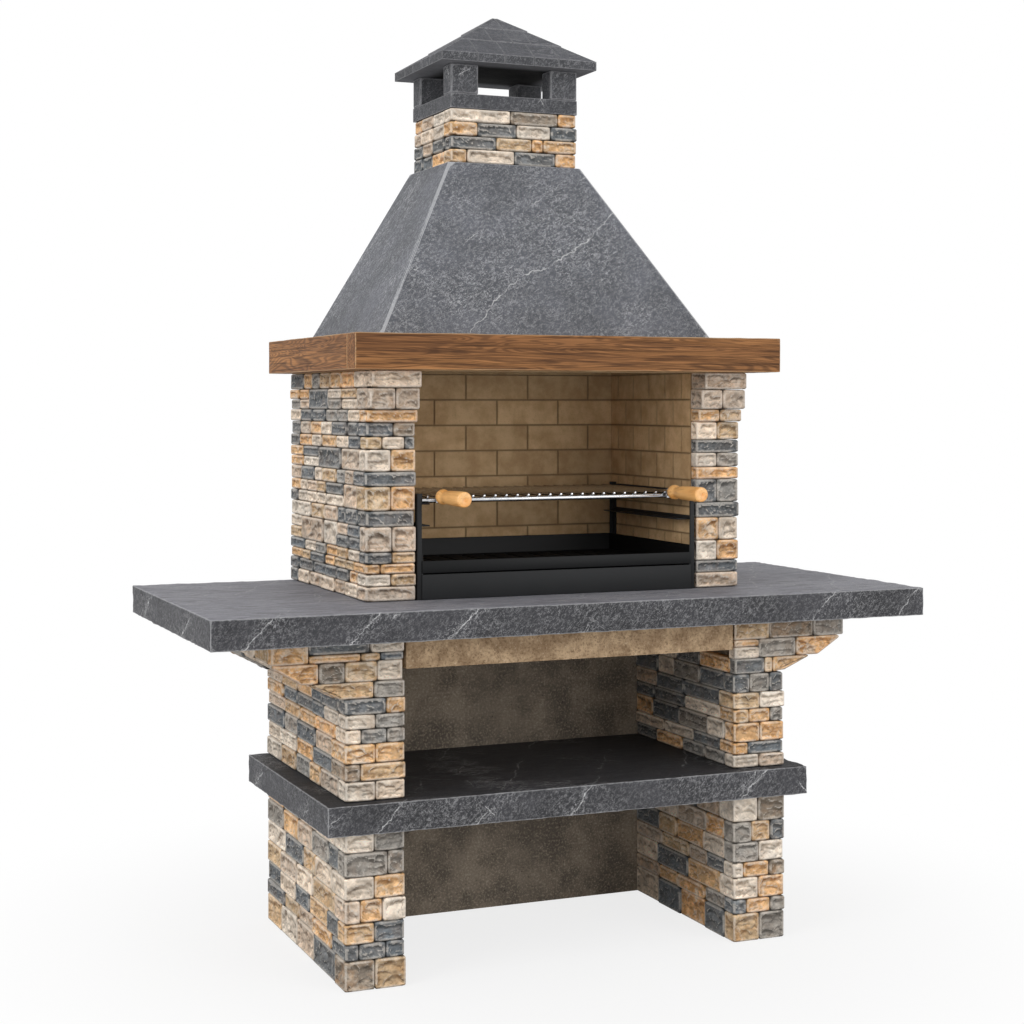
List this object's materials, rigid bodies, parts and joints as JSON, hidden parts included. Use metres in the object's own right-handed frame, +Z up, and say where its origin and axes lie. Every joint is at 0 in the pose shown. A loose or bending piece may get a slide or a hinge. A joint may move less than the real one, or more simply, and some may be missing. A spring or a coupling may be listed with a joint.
{
  "type": "masonry barbecue",
  "caption": "Stone-clad masonry barbecue: slab worktop and shelf, brick-lined firebox, slate hood with capped chimney, sliding grill over an ember tray and an ash drawer.",
  "frame": {"origin": "on the ground, in the middle of the worktop's width and depth", "axes": "+X to the right of a user who faces the fire, +Y to the back, +Z up"},
  "size_m": [1.8, 0.82, 2.3158],
  "materials": {
    "slab_slate": "honed dark slate with pale flecks and veins",
    "hood_slate": "riven charcoal slate with pale veins",
    "cap_slate": "split charcoal slate",
    "cladding_stone": "rock-faced stone in cream, tan, orange and grey",
    "cast_concrete": "cast concrete, brown-grey",
    "hearth_stone": "speckled beige cast stone",
    "firebrick": "speckled refractory brick",
    "oak": "oiled brown oak",
    "black_steel": "satin black",
    "chrome": "bright",
    "handle_wood": "clear varnish"
  },
  "bodies": {
    "masonry": {"cap_base_ring": "cap_slate", "cap_front_left_post": "cap_slate", "cap_front_right_post": "cap_slate", "cap_rear_left_post": "cap_slate", "cap_rear_right_post": "cap_slate", "cap_roof_block": "cap_slate", "cap_roof_tiles": "cap_slate", "chimney_flue_block": "cast_concrete", "chimney_stones": "cladding_stone", "ember_tray": "black_steel", "firebox_rear_wall": "cast_concrete", "hearth_slab": "hearth_stone", "hood_front_panel": "hood_slate", "hood_left_panel": "hood_slate", "hood_rear_panel": "hood_slate", "hood_right_panel": "hood_slate", "hood_support_frame": "cast_concrete", "insert_casing": "black_steel", "left_corbel_stones": "cladding_stone", "left_firebricks": "firebrick", "left_front_upright": "black_steel", "left_lower_leg_core": "cast_concrete", "left_lower_leg_stones": "cladding_stone", "left_lower_rail": "black_steel", "left_pier_core": "cast_concrete", "left_pier_stones": "cladding_stone", "left_rear_upright": "black_steel", "left_upper_leg_core": "cast_concrete", "left_upper_leg_stones": "cladding_stone", "left_upper_rail": "black_steel", "lower_rear_wall": "cast_concrete", "mantel_front_beam": "oak", "mantel_left_return": "oak", "mantel_right_return": "oak", "rear_firebricks": "firebrick", "right_corbel_stones": "cladding_stone", "right_firebricks": "firebrick", "right_front_upright": "black_steel", "right_lower_leg_core": "cast_concrete", "right_lower_leg_stones": "cladding_stone", "right_lower_rail": "black_steel", "right_pier_core": "cast_concrete", "right_pier_stones": "cladding_stone", "right_rear_upright": "black_steel", "right_upper_leg_core": "cast_concrete", "right_upper_leg_stones": "cladding_stone", "right_upper_rail": "black_steel", "shelf_slab": "slab_slate", "upper_rear_wall": "cast_concrete", "worktop_slab": "slab_slate"},
    "drawer": {"ash_drawer_pan": "black_steel", "ash_drawer_front": "black_steel"},
    "grill": {"grill_front_bar": "chrome", "grill_rear_bar": "chrome", "grill_wires": "chrome", "left_handle": "handle_wood", "left_handle_tang": "chrome", "right_handle": "handle_wood", "right_handle_tang": "chrome"}
  },
  "joints": [
    {"name": "grill_slide", "type": "slide", "parent": "masonry", "child": "grill", "axis": [0, -1, 0], "range_m": [0, 0.4]},
    {"name": "drawer_slide", "type": "slide", "parent": "masonry", "child": "drawer", "axis": [0, -1, 0], "range_m": [0, 0.4]}
  ]
}
